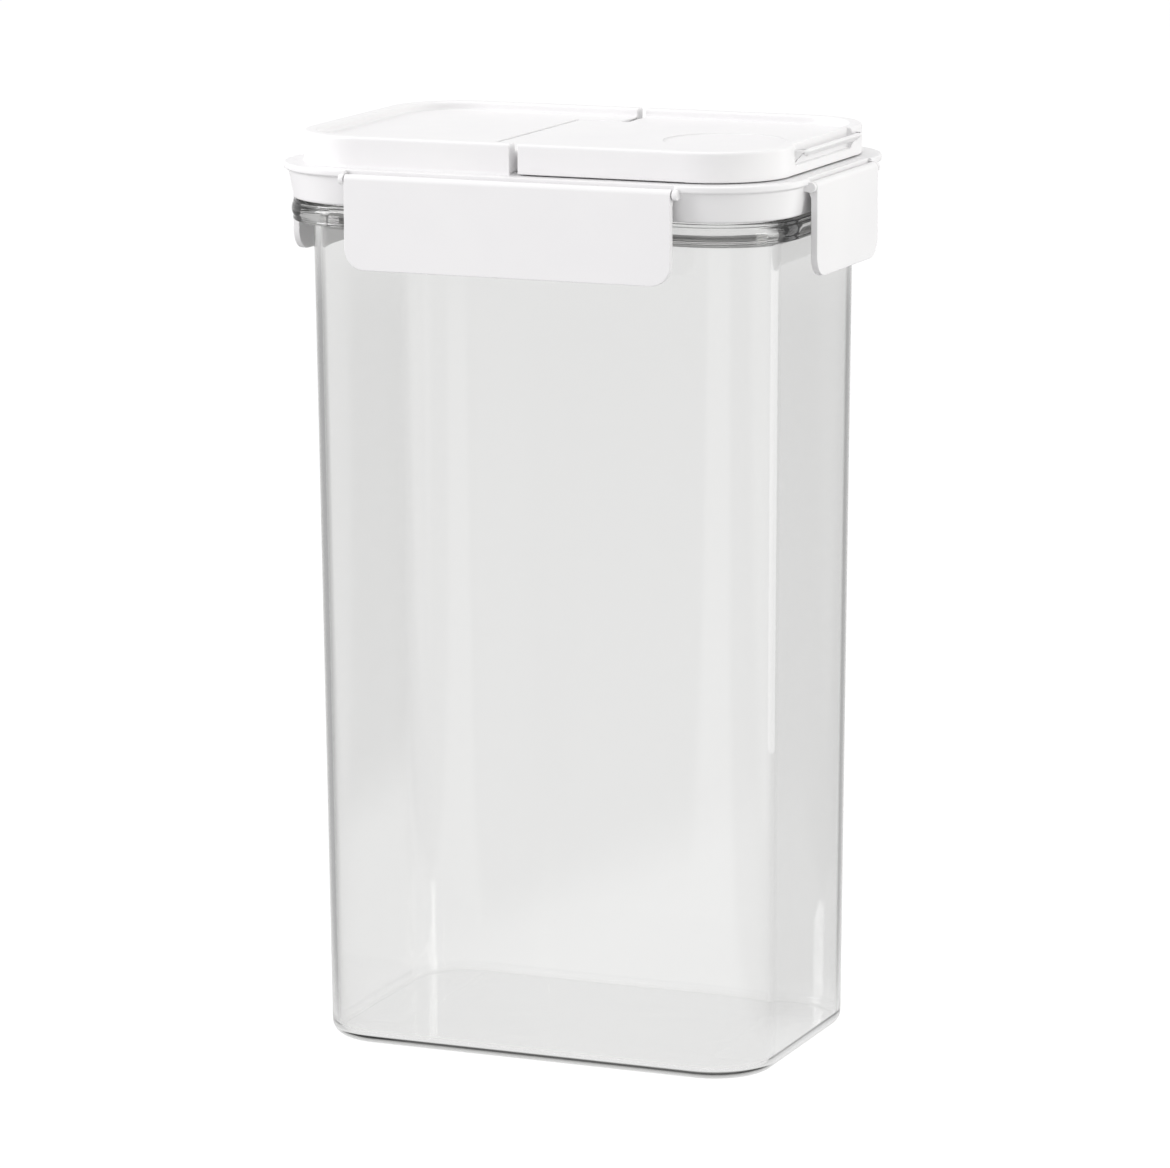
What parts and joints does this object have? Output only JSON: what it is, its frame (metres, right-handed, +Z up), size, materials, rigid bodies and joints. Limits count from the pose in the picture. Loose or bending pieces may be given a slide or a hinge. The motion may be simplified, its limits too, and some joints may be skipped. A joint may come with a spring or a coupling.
{
  "type": "dry food dispenser",
  "caption": "Tall clear storage box for dry food, with a latched airtight lid and a flip-up cap that opens a pour spout.",
  "frame": {"origin": "centre of the underside of the box", "axes": "+Z up, +X along the long side towards the pour cap's free end, front is -Y"},
  "size_m": [0.1868, 0.1316, 0.3083],
  "materials": {
    "clear_body": "clear moulded plastic, polished",
    "white_shell": "satin white moulded plastic",
    "inner_white": "matt white moulded plastic",
    "seal_silicone": "milky silicone rubber",
    "pin_steel": "drawn steel wire"
  },
  "bodies": {
    "container": {"container_body": "clear_body"},
    "lid": {"lid_frame": "white_shell", "lid_liner": "inner_white", "lid_gasket": "seal_silicone", "flip_cap_pin": "pin_steel", "latch_pin_front": "pin_steel", "latch_pin_right": "pin_steel", "latch_pin_back": "pin_steel", "latch_pin_left": "pin_steel"},
    "cap": {"flip_cap": "white_shell", "flip_cap_liner": "inner_white", "flip_cap_seal": "seal_silicone"},
    "front_latch": {"latch_front": "white_shell"},
    "right_latch": {"latch_right": "white_shell"},
    "back_latch": {"latch_back": "white_shell"},
    "left_latch": {"latch_left": "white_shell"}
  },
  "joints": [
    {"name": "lid_lift", "type": "slide", "parent": "container", "child": "lid", "axis": [0, 0, 1], "range_m": [0, 0.04]},
    {"name": "cap_flip", "type": "hinge", "parent": "lid", "child": "cap", "pos_m": [-0.012, 0, 0.302], "axis": [0, -1, 0], "range_deg": [0, 108]},
    {"name": "front_latch_hinge", "type": "hinge", "parent": "lid", "child": "front_latch", "pos_m": [0, -0.06405, 0.29515], "axis": [-1, 0, 0], "range_deg": [0, 110]},
    {"name": "right_latch_hinge", "type": "hinge", "parent": "lid", "child": "right_latch", "pos_m": [0.09165, 0, 0.29515], "axis": [0, -1, 0], "range_deg": [0, 110]},
    {"name": "back_latch_hinge", "type": "hinge", "parent": "lid", "child": "back_latch", "pos_m": [0, 0.06405, 0.29515], "axis": [1, 0, 0], "range_deg": [0, 110]},
    {"name": "left_latch_hinge", "type": "hinge", "parent": "lid", "child": "left_latch", "pos_m": [-0.09165, 0, 0.29515], "axis": [0, 1, 0], "range_deg": [0, 110]}
  ]
}
